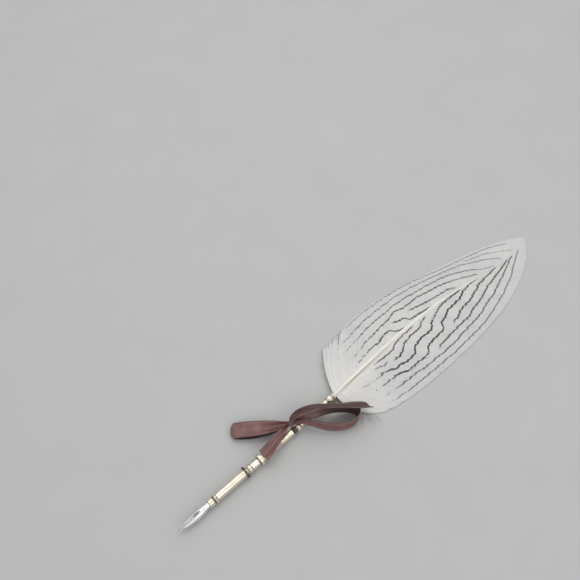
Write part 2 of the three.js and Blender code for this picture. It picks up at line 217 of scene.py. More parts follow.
def metal_material(name, bright, dimmer, patina_and_shade, smooth, rough):
    """Turned metal: fine tool marks round the piece, clouding, bright worn rims, patina specks and painted
    shade in recesses.
    """
    made = Shader(name, Metallic=1.0)
    marks = made.noise(made.place((1, 0.06, 0.06)), 9000, 2.0, 0.7)
    cloud = made.noise(made.place(), 260, 4.0, 0.6)
    specks = made.noise(made.place(), 1500, 2.0, 0.5)
    recess_shade = made.attribute("recess_shade")
    rim = made.attribute("rim")
    colour = made.mix(made.ease(cloud, 0.35, 0.7), bright, dimmer)
    # painted shade: darker where a recess lies, mottled by the clouding
    shade_amount = made.times(made.ease(recess_shade, 0.15, 0.95), made.ease(cloud, 0.2, 0.6, 0.6, 1.0))
    colour = made.mix(shade_amount, colour, patina_and_shade)
    colour = made.mix(made.ease(specks, 0.7, 0.85, 0.0, 0.3), colour, patina_and_shade)
    colour = made.mix(made.times(rim, 0.55), colour, tuple(min(1, c * 1.1) for c in bright))
    made.feed("Base Color", colour)
    roughness = made.ease(made.plus(made.times(marks, 0.5), cloud), 0.5, 1.1, smooth, rough)
    roughness = made.plus(roughness, made.times(shade_amount, 0.2))
    made.feed("Roughness", roughness)
    made.feed("Normal", made.bump(marks, 0.015, 0.008, made.bump(cloud, 0.02, 0.05)))
    return made.material


def quill_material():
    """Keratin: cream, a little waxy, streaked along the shaft, with a tan painted shadow along its groove."""
    made = Shader(
        "quill", Subsurface_Weight=0.08, Subsurface_Scale=0.0012, IOR=1.54, Coat_Weight=0.15,
    )
    streak = made.noise(made.place((0.08, 1, 1)), 2600, 3.0, 0.55)
    cloud = made.noise(made.place(), 160, 3.0)
    colour = made.mix(made.ease(streak, 0.3, 0.7), (0.96, 0.93, 0.84), (0.98, 0.97, 0.92))
    colour = made.mix(made.ease(cloud, 0.45, 0.75, 0.0, 0.3), colour, (0.88, 0.8, 0.64))
    # painted shadow of the groove: a tan line along it
    colour = made.mix(made.attribute("groove"), colour, (0.34, 0.23, 0.14))
    made.feed("Base Color", colour)
    made.feed("Roughness", made.ease(streak, 0.2, 0.8, 0.28, 0.48))
    made.feed("Normal", made.bump(streak, 0.25, 0.05))
    return made.material


def vane_material():
    """Barbs: pale grey, each a little lighter or darker than the next, with dark bands."""
    made = Shader("vane", Sheen_Weight=0.2, Sheen_Roughness=0.45, Specular_IOR_Level=0.3)
    barb, out = made.attribute("barb"), made.attribute("out")
    each = made.random(made.math("FLOOR", barb))
    cloud = made.noise(made.place(), 120, 3.0)
    fine = made.noise(made.vector(made.times(barb, 2.0), made.times(out, 60.0)), 1.3, 3.0)

    pale = made.mix(made.ease(cloud, 0.35, 0.7), (0.8, 0.8, 0.78), (0.72, 0.72, 0.725))
    # painted bluish shade towards the vane's outer edge
    pale = made.mix(made.ease(out, 0.55, 1.0, 0.0, 0.55), pale, (0.74, 0.725, 0.765))
    pale = made.mix(made.attribute("base"), pale, (0.92, 0.9, 0.86))
    shade = made.ease(made.plus(made.times(each, 0.5), made.times(fine, 0.6)), 0.1, 1.0)
    pale = made.mix(shade, made.mix(0.2, pale, (0.3, 0.29, 0.28)), pale)

    gap = made.attribute("gap")
    offset = made.minus(made.math("FRACT", made.plus(made.attribute("band"), 0.5)), 0.5)
    wander = made.noise(made.vector(made.times(barb, 0.33), made.times(out, 2.0)), 1.0, 2.0)
    stray = made.times(made.minus(each, 0.5), 0.3)
    stray = made.plus(stray, made.times(made.minus(wander, 0.5), 2.2))
    away = made.math("ABSOLUTE", made.plus(made.times(offset, gap), stray))
    inside = made.minus(away, made.times(made.attribute("wide"), 0.5))
    darkening = made.ease(inside, 0.16, -0.16)
    breaks = made.noise(made.place(), 420, 2.0)
    whole = made.ease(made.plus(breaks, made.times(made.attribute("whole"), 0.45)), 0.5, 0.66)
    darkening = made.times(made.times(darkening, whole), made.attribute("mark"))
    made.feed("Base Color", made.mix(darkening, pale, (0.052, 0.043, 0.038)))
    made.feed("Roughness", made.ease(fine, 0.2, 0.8, 0.5, 0.75))
    made.feed("Normal", made.bump(fine, 0.35, 0.06))
    return made.material


def down_material():
    """Down: thin, soft and slightly see-through."""
    made = Shader("down", Sheen_Weight=0.3, Specular_IOR_Level=0.3, Alpha=0.85)
    tone = made.noise(made.place(), 500, 3.0)
    made.feed("Base Color", made.mix(made.ease(tone, 0.35, 0.65), (0.7, 0.69, 0.67), (0.86, 0.86, 0.85)))
    made.feed("Roughness", made.ease(tone, 0.2, 0.8, 0.6, 0.8))
    made.feed("Normal", made.bump(tone, 0.2, 0.03))
    return made.material


def satin_material():
    """Satin: warp threads along the ribbon give its gloss, with a firmer edge on both sides."""
    made = Shader(
        "satin", Sheen_Weight=0.45, Sheen_Roughness=0.35, Sheen_Tint=(0.95, 0.7, 0.64, 1),
        Specular_IOR_Level=0.6, Anisotropic=0.55,
    )
    along, across = made.attribute("along"), made.attribute("across")
    warp = made.noise(made.vector(made.times(across, 7.0), made.times(along, 0.25)), 1.0, 2.0)
    weft = made.math("SINE", made.times(along, 18.0))
    cloud = made.noise(made.place(), 180, 3.0)
    colour = made.mix(made.ease(warp, 0.3, 0.7), (0.15, 0.068, 0.06), (0.27, 0.132, 0.118))
    colour = made.mix(made.ease(cloud, 0.4, 0.7, 0.0, 0.5), colour, (0.36, 0.19, 0.17))
    edge, dimmer = made.attribute("selvedge"), made.attribute("dimmer")
    colour = made.mix(made.times(edge, 0.5), colour, (0.07, 0.036, 0.033))
    # painted shade: darker colour on each strip's back face, the knot and the wrap; the added roughness there
    # is a matte finish
    colour = made.mix(made.times(dimmer, 0.85), colour, (0.062, 0.03, 0.03))
    made.feed("Base Color", colour)
    rough = made.plus(warp, made.plus(made.times(edge, 0.3), made.times(dimmer, 0.5)))
    made.feed("Roughness", made.ease(rough, 0.2, 1.3, 0.26, 0.62))
    weave = made.plus(warp, made.times(weft, 0.08))
    made.feed("Normal", made.bump(weave, 0.3, 0.05, made.bump(edge, 0.5, 0.08)))
    return made.material


def glue_material():
    """Set resin glue: amber, a little clear."""
    made = Shader("glue", Transmission_Weight=0.2, IOR=1.5)
    tone = made.noise(made.place(), 900, 3.0)
    made.feed("Base Color", made.mix(made.ease(tone, 0.3, 0.7), (0.55, 0.45, 0.22), (0.7, 0.6, 0.36)))
    made.feed("Roughness", made.ease(tone, 0.2, 0.8, 0.2, 0.4))
    made.feed("Normal", made.bump(tone, 0.3, 0.1))
    return made.material


def floor_material():
    made = Shader("floor_paper", Specular_IOR_Level=0.2)
    tone = made.noise(made.place(), 30, 4.0)
    made.feed("Base Color", made.mix(made.ease(tone, 0.3, 0.7), (0.6, 0.6, 0.595), (0.615, 0.615, 0.61)))
    made.feed("Roughness", made.ease(tone, 0.2, 0.8, 0.75, 0.9))
    return made.material


MATERIALS = {
    "steel": metal_material("steel", (0.93, 0.93, 0.93), (0.84, 0.84, 0.85), (0.1, 0.09, 0.085), 0.3, 0.46),
    "holder": metal_material("holder", (0.93, 0.87, 0.74), (0.84, 0.76, 0.6), (0.22, 0.16, 0.1), 0.3, 0.46),
    "darkened": metal_material(
        "darkened", (0.22, 0.18, 0.14), (0.14, 0.11, 0.085), (0.05, 0.036, 0.026), 0.28, 0.48,
    ),
    "quill": quill_material(),
    "vane": vane_material(),
    "down": down_material(),
    "satin": satin_material(),
    "glue": glue_material(),
}

# ---- Meshes ----

WELD = 1e-7


def add_piece(name, points, faces, finish, body, replaced=(), values=None, sharp=45):
    mesh = bpy.data.meshes.new(name)
    mesh.from_pydata(placed(points).tolist(), [], [tuple(map(int, f)) for f in faces])
    for key, numbers in (values or {}).items():
        layer = mesh.attributes.new(key, "FLOAT", "POINT")
        layer.data.foreach_set("value", np.asarray(numbers, np.float32).ravel())
    shape = bmesh.new()
    shape.from_mesh(mesh)
    bmesh.ops.remove_doubles(shape, verts=shape.verts, dist=WELD)
    bmesh.ops.recalc_face_normals(shape, faces=shape.faces)
    shape.to_mesh(mesh)
    shape.free()
    mesh.shade_smooth()
    mesh.set_sharp_from_angle(angle=math.radians(sharp))
    mesh.materials.append(MATERIALS[finish])
    piece = bpy.data.objects.new(name, mesh)
    bpy.context.collection.objects.link(piece)
    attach(piece, body)
    if replaced:
        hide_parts(*replaced)
    return piece


def smooth_line(points, steps=40):
    """A centripetal Catmull-Rom line through the points, as [length along it, x, y, z, ...]."""
    points = np.asarray(points, float)
    points = np.vstack([2 * points[0] - points[1], points, 2 * points[-1] - points[-2]])
    dense = []
    for a, b, c, d in zip(points, points[1:], points[2:], points[3:]):
        knots = np.cumsum([0.0, *(np.linalg.norm(q[:3] - p[:3]) ** 0.5 for p, q in ((a, b), (b, c), (c, d)))])
        t = np.linspace(knots[1], knots[2], steps, endpoint=False)[:, None]

        def blend(p, q, start, end):
            return ((end - t) * p + (t - start) * q) / (end - start)

        first, second, third = (
            blend(a, b, knots[0], knots[1]), blend(b, c, knots[1], knots[2]), blend(c, d, knots[2], knots[3]),
        )
        left, right = blend(first, second, knots[0], knots[2]), blend(second, third, knots[1], knots[3])
        dense.append(blend(left, right, knots[1], knots[2]))
    dense = np.vstack([*dense, points[-2]])
    length = np.concatenate([[0], np.cumsum(np.linalg.norm(np.diff(dense[:, :3], axis=0), axis=1))])
    return np.column_stack([length, dense])


def along(line, share):
    """Points a share of the way along a smooth line."""
    at = np.asarray(share) * line[-1, 0]
    return np.stack([np.interp(at, line[:, 0], column) for column in line[:, 1:].T], axis=-1)


def grid_faces(index):
    """Quads between the neighbouring points of a grid of point numbers."""
    return np.stack([index[:-1, :-1], index[:-1, 1:], index[1:, 1:], index[1:, :-1]], -1).reshape(-1, 4)


def tube_faces(rings, sides):
    """Quads round a stack of rings, and a face on each end."""
    faces = []
    for i in range(rings - 1):
        for k in range(sides):
            a, b = i * sides + k, i * sides + (k + 1) % sides
            faces.append((a, b, b + sides, a + sides))
    faces.append(tuple(range(sides))[::-1])
    faces.append(tuple((rings - 1) * sides + k for k in range(sides)))
    return faces


def closed_sheet(grid, thickness):
    """Points and faces of a closed sheet round a grid of middle points."""
    normal = np.cross(np.gradient(grid, axis=1), np.gradient(grid, axis=0))
    normal /= np.maximum(np.linalg.norm(normal, axis=-1, keepdims=True), 1e-9)
    half = normal * (np.broadcast_to(thickness, grid.shape[:2])[..., None] / 2)
    points = np.concatenate([(grid + half).reshape(-1, 3), (grid - half).reshape(-1, 3)])
    rows, columns = grid.shape[:2]
    top = np.arange(rows * columns).reshape(rows, columns)
    below = rows * columns
    quads = grid_faces(top)
    border = np.concatenate([top[0], top[1:, -1], top[-1, -2::-1], top[-2:0:-1, 0]])
    after = np.roll(border, -1)
    sides = np.stack([after, border, border + below, after + below], -1)
    return points, np.vstack([quads, quads[:, ::-1] + below, sides])


def merged(shapes):
    """Several (points, faces) joined into one."""
    points, faces, start = [], [], 0
    for some_points, some_faces in shapes:
        points.append(np.asarray(some_points, float))
        faces.extend([tuple(int(i) + start for i in f) for f in some_faces])
        start += len(some_points)
    return np.vstack(points), faces


def strand(path, radius, sides=4):
    """A tapering filament with a pointed end."""
    path = np.asarray(path, float)
    tangent = np.gradient(path, axis=0)
    tangent /= np.linalg.norm(tangent, axis=1, keepdims=True)
    side = np.cross(tangent, (0.0, 0.0, 1.0))
    side /= np.maximum(np.linalg.norm(side, axis=1, keepdims=True), 1e-9)
    up = np.cross(side, tangent)
    size = radius * np.linspace(1, 0.25, len(path))[:, None, None]
    angle = (2 * np.pi * np.arange(sides) / sides)[None, :, None]
    rings = path[:, None] + size * (np.cos(angle) * side[:, None] + np.sin(angle) * up[:, None])
    return rings.reshape(-1, 3), tube_faces(len(path), sides)


# ---- Turned pieces ----

SEGMENTS = 112
FILLET = 0.13
SHARPEST_SMOOTH_TURN = math.radians(28)  # an outline's corner that turns less isn't rounded
RECESS_REACH = 0.45  # how far along the pen a taller neighbour makes a recess
RECESS_DEPTH = 0.5  # how deep a recess has to be for the full painted shade
BARREL_BORE = 1.12
GRIP_BORE = 2.08
GRIP_WALL_START = 40
STUD_BORE = 1.05
SOCKET_BORE = 1.8
ROD_BORE = 1.0


def bead(front, back, end_radius, middle_radius, steps=16):
    swell = np.sin(np.pi * np.arange(steps + 1) / steps)
    stations = np.linspace(front, back, steps + 1)
    return [[s, end_radius + (middle_radius - end_radius) * w] for s, w in zip(stations, swell)]


def plain(front, back, radius, end_radius=None):
    return [[front, radius], [back, radius if end_radius is None else end_radius]]


def rounded(outline, closed):
    """The outline with its corners rounded, and a mark on each point that lies on a rounding."""
    outline = np.asarray(outline, float)
    count, points, marks = len(outline), [], []
    for i, here in enumerate(outline):
        if closed or 0 < i < count - 1:
            before, after = outline[i - 1] - here, outline[(i + 1) % count] - here
            lengths = np.linalg.norm(before), np.linalg.norm(after)
            before, after = before / lengths[0], after / lengths[1]
            if -before @ after < math.cos(SHARPEST_SMOOTH_TURN):
                cut = min(FILLET, 0.35 * lengths[0], 0.35 * lengths[1])
                points.append(here + before * cut * 1.3)
                marks.append(0)
                for t in (0, 0.25, 0.5, 0.75, 1):
                    start, end = here + before * cut, here + after * cut
                    points.append((1 - t) ** 2 * start + 2 * t * (1 - t) * here + t * t * end)
                    marks.append(math.sin(math.pi * t))
                points.append(here + after * cut * 1.3)
                marks.append(0)
                continue
        points.append(here)
        marks.append(0)
    return np.array(points), np.array(marks)


def turned(outline, closed):
    """Points, faces and finish values of an outline turned about the pen's axis."""
    points, marks = rounded(outline, closed)
    stations, radii = points.T
    # painted shade in the recesses: the further a point lies below a taller neighbour, the darker
    near = np.abs(stations[:, None] - stations[None]) < RECESS_REACH
    hull = np.where(near, radii[None], 0).max(axis=1)
    recess_shade = np.clip((hull - radii) / RECESS_DEPTH, 0, 1)
    angle = 2 * np.pi * np.arange(SEGMENTS) / SEGMENTS
    rings = np.stack([
        np.repeat(stations[:, None], SEGMENTS, 1),
        radii[:, None] * np.cos(angle),
        radii[:, None] * np.sin(angle),
    ], -1)
    count = len(points)
    ring = np.arange(count if closed else count - 1)[:, None]
    k = np.arange(SEGMENTS)[None]
    after, turn = (ring + 1) % count, (k + 1) % SEGMENTS
    here, there = ring * SEGMENTS, after * SEGMENTS
    faces = np.stack([here + k, here + turn, there + turn, there + k], -1)
    values = {"recess_shade": np.repeat(recess_shade, SEGMENTS), "rim": np.repeat(marks, SEGMENTS)}
    return rings.reshape(-1, 3), faces.reshape(-1, 4), values


def add_sleeve(name, body, finish, outer, bore):
    outline = [*outer, [outer[-1][0], bore], [outer[0][0], bore]]
    points, faces, values = turned(outline, True)
    add_piece("fine_" + name, points, faces, finish, body, [name], values)


def add_bar(name, body, finish, outer):
    outline = [[outer[0][0], 0], *outer, [outer[-1][0], 0]]
    points, faces, values = turned(outline, False)
    add_piece("fine_" + name, points, faces, finish, body, [name], values)


STUD_RADIUS = 1.0
STUD_ROOT_RADIUS = 0.86
STUD_PITCH = 0.5
STUD_THREADS = 8
THREAD_START = 47.4


def add_stud():
    """The grip's stud, with its thread cut as grooves."""
    outline = [[38, STUD_RADIUS], [THREAD_START, STUD_RADIUS]]
    for i in range(STUD_THREADS):
        start = THREAD_START + i * STUD_PITCH
        outline += [
            [start + 0.08, STUD_RADIUS], [start + 0.24, STUD_ROOT_RADIUS],
            [start + 0.34, STUD_ROOT_RADIUS], [start + STUD_PITCH, STUD_RADIUS],
        ]
    outline += [[51.5, 0.95], [51.8, 0.72]]
    add_bar("grip_stud", "grip", "steel", outline)


def add_metalwork():
    add_bar("nib_core", "grip", "darkened", [
        [21.6, 1.2], [22, 1.42], [34.1, 1.42], [34.1, 2.02], [36, 2.02],
    ])
    add_sleeve("nib_collar", "grip", "holder", [
        [20.6, 2.36], [20.85, 2.5], [23.6, 2.5], [23.8, 2.02], [34, 2.02],
    ], 1.82)
    add_sleeve("lip_ring", "grip", "holder", bead(24.4, 26, 2.5, 2.9), GRIP_BORE)
    grip = [
        [26.1, 2.48], [45.9, 2.48], [45.9, STUD_BORE], [GRIP_WALL_START, STUD_BORE],
        [GRIP_WALL_START, GRIP_BORE], [26.1, GRIP_BORE],
    ]
    points, faces, values = turned(grip, True)
    add_piece("fine_grip_tube", points, faces, "holder", "grip", ["grip_tube"], values)
    add_stud()
    add_sleeve("grip_washer", "washer", "darkened", plain(46, 47.1, 3.5), BARREL_BORE)
    lower = [[47.2, 1.9], [48, 1.95], *bead(48.1, 50.7, 2.2, 2.55)]
    add_sleeve("lower_bead", "barrel", "holder", lower, BARREL_BORE)
    add_sleeve("spacer_tube", "barrel", "holder", plain(50.8, 55.4, 2.4), BARREL_BORE)
    flange = [[55.5, 2], [56.1, 2], [56.2, 3.6], [57.8, 3.6], [57.9, 2.3]]
    add_sleeve("flange_ring", "barrel", "holder", flange, BARREL_BORE)
    add_sleeve("taper_section", "barrel", "holder", plain(58, 69.3, 2.25, 1.98), BARREL_BORE)
    rings = [*bead(69.4, 70.5, 2.05, 2.42), *bead(70.6, 71.7, 2.05, 2.42)]
    add_sleeve("double_ring", "barrel", "holder", rings, BARREL_BORE)
    add_sleeve("upper_tube", "barrel", "holder", plain(71.8, 80.6, 2, 2.12), BARREL_BORE)
    neck = [[80.7, 1.85], [81.3, 1.6], [83.1, 1.6], [83.5, 1.85]]
    add_sleeve("neck_ring", "barrel", "darkened", neck, BARREL_BORE)
    add_sleeve("upper_bead", "barrel", "holder", bead(83.6, 86.5, 1.9, 2.35), BARREL_BORE)
    baluster = along(smooth_line([
        [86.6, 1.6], [88, 1.7], [91, 2.1], [94.5, 2.25], [98, 2.1], [101.5, 1.75], [103.3, 1.64],
    ]), np.linspace(0, 1, 40)).tolist()
    baluster += [[103.5, 1.9], [104.4, 1.9]]
    add_sleeve("baluster", "barrel", "holder", baluster, BARREL_BORE)
    add_sleeve("socket_neck", "barrel", "holder", bead(104.5, 107.1, 1.85, 1.65), BARREL_BORE)
    cup = [
        *bead(107.2, 111.1, 2.2, 2.72), [111.1, SOCKET_BORE], [108.5, SOCKET_BORE], [108.5, ROD_BORE],
        [107.2, ROD_BORE],
    ]
    points, faces, values = turned(cup, True)
    add_piece("fine_socket_cup", points, faces, "holder", "barrel", ["socket_cup"], values)
    add_sleeve("top_ring", "barrel", "holder", bead(111.2, 112.3, 2.2, 2.45), SOCKET_BORE)
    add_bar("tie_rod", "barrel", "steel", plain(ROD_START, 108.2, 0.9))
    add_bar("socket_glue", "barrel", "glue", plain(108.6, 109.4, 1.7))


# ---- Nib ----

# Station, half the flat blank's width, the radius it is rolled to, and the height of its crest.
NIB_ROWS = np.array([
    [0, 0.26, 2.4, 0.1], [1.5, 0.7, 2.45, 0.3], [3, 1.2, 2.5, 0.5], [7, 2.35, 2.65, 1],
    [9.5, 3.1, 2.72, 1.26],
    [11.5, 3.55, 2.75, 1.44], [13.5, 3.7, 2.75, 1.54], [15.2, 3.6, 2.55, 1.58], [17, 3.2, 2.15, 1.6],
    [18.8, 2.85, 1.8, 1.62], [20.4, 2.8, 1.62, 1.62], [34, 2.8, 1.62, 1.62],
])
NIB_THICKNESS = 0.25
SLIT_HALF_WIDTH = 0.045
VENT_START = 9.8
VENT_END = 14.6
VENT_HALF_WIDTH = 0.42


def nib_inner_edge(station):
    """How far the metal starts from the middle: the slit, then the lancet vent, then nothing."""
    share = np.clip((station - VENT_START) / (VENT_END - VENT_START), 0, 1)
    vent = 2 * VENT_HALF_WIDTH * share * (1 - share) * 2
    return np.maximum(vent, np.where(station < VENT_START, SLIT_HALF_WIDTH, 0))


def add_nib():
    line = smooth_line(NIB_ROWS[:, [0, 1, 2, 3]])
    stations = np.concatenate([np.linspace(0, VENT_START, 50), np.linspace(VENT_START, VENT_END, 31)[1:],
                               np.linspace(VENT_END, 21, 30)[1:], np.linspace(21, 34, 14)[1:]])
    half, radius, crest = (np.interp(stations, line[:, 1], line[:, c]) for c in (2, 3, 4))
    columns = np.linspace(0, 1, 15)
    shapes = []
    for side in (1, -1):
        inner = nib_inner_edge(stations)[:, None]
        width = inner + (half[:, None] - inner) * columns
        angle = side * width / radius[:, None]
        grid = np.stack([
            np.repeat(stations[:, None], len(columns), 1), radius[:, None] * np.sin(angle),
            crest[:, None] - radius[:, None] * (1 - np.cos(angle)),
        ], -1)
        index = np.arange(grid.shape[0] * grid.shape[1]).reshape(grid.shape[:2])
        quads = grid_faces(index)
        shapes.append((grid.reshape(-1, 3), quads if side > 0 else quads[:, ::-1]))
    points, faces = merged(shapes)
    edge = np.tile((columns > 0.98).astype(float), len(stations))
    # painted shade along the slit and the vent, where the dark under the nib shows through
    darkening = np.exp(-(width - inner) / 0.14) * np.clip((VENT_END + 0.4 - stations) / 0.4, 0, 1)[:, None]
    values = {"recess_shade": np.tile(0.15 + 0.8 * darkening.ravel(), 2), "rim": np.concatenate([edge, edge])}
    nib = add_piece("fine_nib", points, faces, "steel", "nib", ["nib"], values, sharp=60)
    solid = nib.modifiers.new("solid", "SOLIDIFY")
    solid.thickness, solid.offset = NIB_THICKNESS * MM, 0
    rims = nib.modifiers.new("rims", "BEVEL")
    rims.width, rims.segments, rims.limit_method = 0.05 * MM, 2, "ANGLE"
    rims.angle_limit = math.radians(50)


# ---- Feather ----

SHAFT_LINE = [
    [113.3, 0, 0], [130, 0.5, 0.45], [148, 1.1, 0.7], [166, 1.8, 0.7], [186, 1.8, 0.3],
    [202, 1.1, -0.3], [222, -1.4, -1.2], [243, -4.9, -2.1], [257, -6.3, -2.6], [268, -5.4, -2.9],
]
VANE_EDGE_HEIGHT = -3.3
TIP_BARBS = 1.2  # how far the last barbs reach past the plainer CAD vane
TIP = pen_box("left_vane")[1][0] + TIP_BARBS
RIGHT_VANE_SIDE = pen_box("right_vane")[0][1]
RIGHT_WIDEST = 180
RIGHT_BASE_LENGTH = 57.5
RIGHT_BASE_DEPTH = 10
RIGHT_BASE_SQUARENESS = 2.4  # 2 would be an ellipse
RIGHT_BASE_START = math.radians(13)
RIGHT_BASE_STEPS = 6
LEFT_OUTLINE = [
    [130.5, 28], [147, 29.8], [168, 30], [192, 26.3], [220, 19.8], [248, 12], [266, 4.6], [TIP, -2.8],
]


def right_base():
    """The right vane's round base, a quarter of a superellipse that ends at the widest station."""
    turn = np.linspace(RIGHT_BASE_START, math.pi / 2, RIGHT_BASE_STEPS + 1)
    stations = RIGHT_WIDEST - RIGHT_BASE_LENGTH * np.maximum(np.cos(turn), 0) ** (2 / RIGHT_BASE_SQUARENESS)
    sides = RIGHT_VANE_SIDE + RIGHT_BASE_DEPTH * (1 - np.sin(turn))
    return np.column_stack([stations, sides]).tolist()


RIGHT_OUTLINE = [*right_base(), [212, -29.7], [235, -26], [252, -20.5], [268, -11.4], [TIP, -2.2]]
SHAFT_HALF_WIDTHS = [
    [0, 1.75], [0.05, 2.0], [0.14, 2.05], [0.25, 1.85], [0.38, 1.2], [0.5, 0.8], [0.7, 0.48],
    [0.88, 0.28], [1, 0.16],
]
GROOVE_ANGLE = math.radians(122)
SHAFT_FLATNESS = 0.8
BARBS = 250
STEPS_PER_BARB = 3
BARB_ROWS = 46
BARB_SWEEP = 0.74  # below 1, barbs reach the outline further towards the tip than they start
BARB_RELIEF = 0.05
VANE_ROOT_THICKNESS = 0.26
VANE_EDGE_THICKNESS = 0.14

# The feather's dark bands, outermost first: width in mm, strength, and the band's path.
# They are drawn on the plane of the holder's axis and carried down onto the drooping vane
# along this slope, as sideways shift for each mm of height.
BAND_SLOPE = (0.374, 0.484)
BAND_MARGIN = 4.5
BAND_WEIGHT = 1.22
BAND_STEP = 0.25
BAND_SMOOTHING = 3  # steps to either side that a band's height is averaged over
BAND_END_FADE = 2.5
LEAST_BAND_GAP = 0.3
PLAIN_GAP = 4.0
PLAIN_WIDTH = 0.5
FAR_OUT = 99.0  # beyond any point of the feather
LEFT_BANDS = [
    (0.5, 0.62, [[139, 26], [150, 27], [167, 27], [185, 25], [199, 22.2], [212, 18.3], [223, 15],
        [234, 12.2], [244, 9.4], [253, 6.1], [261, 2.2], [265, -0.6]]),
    (0.5, 0.55, [[233, 10.4], [240, 8], [247, 5], [254, 1], [259, -2.8], [262.5, -6]]),
    (0.55, 0.7, [[130, 19.6], [140, 20.8], [150, 21.5], [158, 22.6], [167, 22.8], [180, 22.3], [198, 19.4],
        [212, 15.6], [225, 11.6], [229, 10.4], [238, 5.6], [245, 1.7], [250.5, -2.8], [254, -6.4]]),
    (0.6, 0.76, [[127, 14], [140, 16], [150, 17], [158, 18.2], [167, 18.3], [183, 17.8], [194, 16.1],
        [205, 13.9], [216, 11.1], [221, 9.3], [231, 3.9], [238, -1.7], [246, -5.4]]),
    (0.7, 0.85, [[137, 9.2], [149, 12.2], [156, 12.4], [163, 13.4], [170, 13.4], [177, 15], [182.5, 12.9],
        [194, 12.6], [201, 10.8], [208, 9.4], [214, 7.4], [222, 3.9], [228, 0.6], [234, -2.4]]),
    (0.75, 0.9, [[182.8, 9.9], [189, 7.8], [197, 6.1], [205, 4.4], [212, 3.3], [217, 0.2]]),
    (0.8, 0.92, [[169, 11], [173, 9], [177.5, 8.2], [179.6, 4.8], [187, 3.7], [196, 2.2]]),
    (0.8, 0.9, [[127, 4], [136, 5], [146.5, 7], [155.5, 6.7], [159, 8.3], [165.5, 8], [167.6, 4.8],
        [172, 3.3], [177, 2.2]]),
    (0.6, 0.6, [[124, 3], [134, 2.6], [142, 2.4], [151, 2.8], [158, 3.3], [164, 2.1]]),
]
RIGHT_BANDS = [
    (0.65, 0.72, [[128, -24.6], [136, -25.8], [143, -27], [153, -27.4], [167, -28.3], [183, -28.7],
        [201, -28.1], [212, -27.4], [223, -24.8], [233, -22.2], [244, -18.3], [252, -13.9], [261, -9.4],
        [267, -6]]),
    (0.75, 0.8, [[133, -20.2], [142, -21.1], [147, -21.7], [156, -22.2], [164, -23.6], [176, -23.9],
        [187, -24.1], [201, -22.8], [212, -22], [221, -19.4], [228, -18.3], [238, -15], [247, -11.7],
        [256, -8.2], [262, -6]]),
    (0.85, 0.86, [[177.5, -20.8], [181.5, -19.1], [189, -18.9], [201, -18.1], [208, -18.1], [210.5, -16.5],
        [221, -15], [231, -11.7], [242, -10], [252, -7.8], [258, -6.2]]),
    (0.9, 0.9, [[196, -15.4], [198, -13.9], [202, -13.9], [205, -12.2], [209.5, -11.1], [215, -11.1],
        [223, -8.9], [228, -7], [240, -6.4], [248, -5.4]]),
    (0.95, 0.95, [[129, -14.2], [138, -15], [146, -15.2], [151, -16.2], [154.5, -18.3], [163, -18.3],
        [169, -18.9], [172, -18], [174, -15], [181, -13.9], [189.5, -13.7], [191.7, -9.4], [197, -8.3],
        [200.6, -6.3], [212, -5.9], [217, -3.9], [223, -2.9], [234, -3.6]]),
    (0.95, 0.95, [[126, -7.6], [138, -9.4], [143, -9.2], [148, -10.8], [150.5, -12.5], [154, -11.9],
        [158.5, -13.6], [165.5, -13.1], [168.5, -9.4], [176, -8.3], [184.3, -8.7], [187, -5.2], [194, -2.8],
        [199.5, -1.1], [206, -1.1], [218, -1.9]]),
    (0.9, 0.92, [[152.8, -7.4], [157.8, -8.3], [161.5, -6.7], [165, -3.9], [172, -2.8], [180, -3.1],
        [182.2, -1], [189, 0.3]]),
    (0.8, 0.8, [[140, -3.7], [144, -5.2], [147, -6.4], [151, -5]]),
    (0.8, 0.85, [[142, -1.9], [149.5, -2], [155, -2.8], [158.3, -2.2], [161, -0.5], [168, 0.3],
        [179, 0.4]]),
]


def shaft_half_width(share):
    return np.interp(share, *np.transpose(SHAFT_HALF_WIDTHS))


